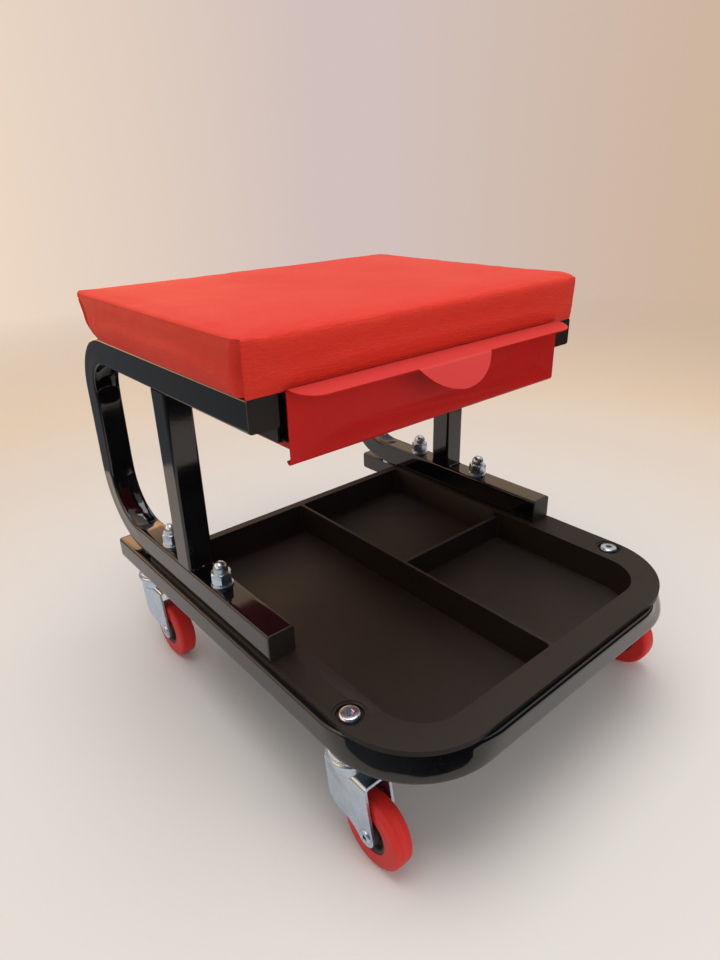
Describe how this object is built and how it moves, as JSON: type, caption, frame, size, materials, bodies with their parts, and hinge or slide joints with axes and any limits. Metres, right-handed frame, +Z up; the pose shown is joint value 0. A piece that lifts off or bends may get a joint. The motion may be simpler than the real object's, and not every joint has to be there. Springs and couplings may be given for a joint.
{
  "type": "creeper seat",
  "caption": "Rolling workshop seat with a padded top, a pull-out drawer and a partitioned tool tray on swivel casters.",
  "frame": {"origin": "on the floor, under the middle of the whole seat", "axes": "+Z up, the drawer pulls out toward -Y, +X to the right as seen from the drawer side"},
  "size_m": [0.3819, 0.481, 0.385],
  "materials": {
    "gloss_black": "gloss black powder coat on steel tube",
    "cap_plastic": "satin black moulded caps",
    "tray_plastic": "satin brown-black moulded tray",
    "board_wood": "plain plywood",
    "foam": "open-cell seat foam",
    "red_vinyl": "grained orange-red vinyl",
    "zinc": "bright bluish zinc plate",
    "bearing_steel": "bare hardened steel",
    "runner_black": "black coated sheet steel",
    "drawer_red": "deep red powder coat on sheet steel",
    "hub_plastic": "dark grey moulded hub",
    "red_tyre": "red polyurethane tread"
  },
  "bodies": {
    "frame": {"base_frame": "gloss_black", "base_end_caps": "cap_plastic", "tray": "tray_plastic", "left_seat_frame_tube": "gloss_black", "right_seat_frame_tube": "gloss_black", "left_post": "gloss_black", "right_post": "gloss_black", "post_welds": "gloss_black", "foot_end_caps": "cap_plastic", "arm_end_caps": "cap_plastic", "seat_board": "board_wood", "seat_foam": "foam", "seat_cover": "red_vinyl", "seat_screws": "zinc", "seat_tee_nuts": "zinc", "left_runner": "runner_black", "right_runner": "runner_black", "runner_screws": "zinc", "frame_bolts": "zinc", "flat_washers": "zinc", "spring_washers": "zinc", "cap_nuts": "zinc", "front_caster_bolts": "zinc", "rear_caster_bolts": "zinc", "caster_lock_nuts": "zinc", "front_left_race": "zinc", "front_right_race": "zinc", "rear_left_race": "zinc", "rear_right_race": "zinc"},
    "drawer": {"drawer_pan": "drawer_red", "drawer_front": "drawer_red", "left_slide": "runner_black", "right_slide": "runner_black", "slide_rivets": "zinc"},
    "front_left_swivel": {"front_left_balls": "bearing_steel", "front_left_fork": "zinc", "front_left_axle": "zinc", "front_left_bush": "bearing_steel"},
    "front_left_wheel": {"front_left_hub": "hub_plastic", "front_left_tyre": "red_tyre"},
    "front_right_swivel": {"front_right_balls": "bearing_steel", "front_right_fork": "zinc", "front_right_axle": "zinc", "front_right_bush": "bearing_steel"},
    "front_right_wheel": {"front_right_hub": "hub_plastic", "front_right_tyre": "red_tyre"},
    "rear_left_swivel": {"rear_left_balls": "bearing_steel", "rear_left_fork": "zinc", "rear_left_axle": "zinc", "rear_left_bush": "bearing_steel"},
    "rear_left_wheel": {"rear_left_hub": "hub_plastic", "rear_left_tyre": "red_tyre"},
    "rear_right_swivel": {"rear_right_balls": "bearing_steel", "rear_right_fork": "zinc", "rear_right_axle": "zinc", "rear_right_bush": "bearing_steel"},
    "rear_right_wheel": {"rear_right_hub": "hub_plastic", "rear_right_tyre": "red_tyre"}
  },
  "joints": [
    {"name": "drawer_slide", "type": "slide", "parent": "frame", "child": "drawer", "axis": [0, -1, 0], "range_m": [0, 0.18]},
    {"name": "front_left_swivel_turn", "type": "hinge", "parent": "frame", "child": "front_left_swivel", "pos_m": [-0.17175, -0.1595, 0.0945], "axis": [0, 0, 1], "continuous": true},
    {"name": "front_left_wheel_spin", "type": "hinge", "parent": "front_left_swivel", "child": "front_left_wheel", "pos_m": [-0.17175, -0.188, 0.0307], "axis": [1, 0, 0], "continuous": true},
    {"name": "front_right_swivel_turn", "type": "hinge", "parent": "frame", "child": "front_right_swivel", "pos_m": [0.17175, -0.1595, 0.0945], "axis": [0, 0, 1], "continuous": true},
    {"name": "front_right_wheel_spin", "type": "hinge", "parent": "front_right_swivel", "child": "front_right_wheel", "pos_m": [0.17175, -0.188, 0.0307], "axis": [1, 0, 0], "continuous": true},
    {"name": "rear_left_swivel_turn", "type": "hinge", "parent": "frame", "child": "rear_left_swivel", "pos_m": [-0.17175, 0.1695, 0.0945], "axis": [0, 0, 1], "continuous": true},
    {"name": "rear_left_wheel_spin", "type": "hinge", "parent": "rear_left_swivel", "child": "rear_left_wheel", "pos_m": [-0.17175, 0.141, 0.0307], "axis": [1, 0, 0], "continuous": true},
    {"name": "rear_right_swivel_turn", "type": "hinge", "parent": "frame", "child": "rear_right_swivel", "pos_m": [0.17175, 0.1695, 0.0945], "axis": [0, 0, 1], "continuous": true},
    {"name": "rear_right_wheel_spin", "type": "hinge", "parent": "rear_right_swivel", "child": "rear_right_wheel", "pos_m": [0.17175, 0.141, 0.0307], "axis": [1, 0, 0], "continuous": true}
  ]
}
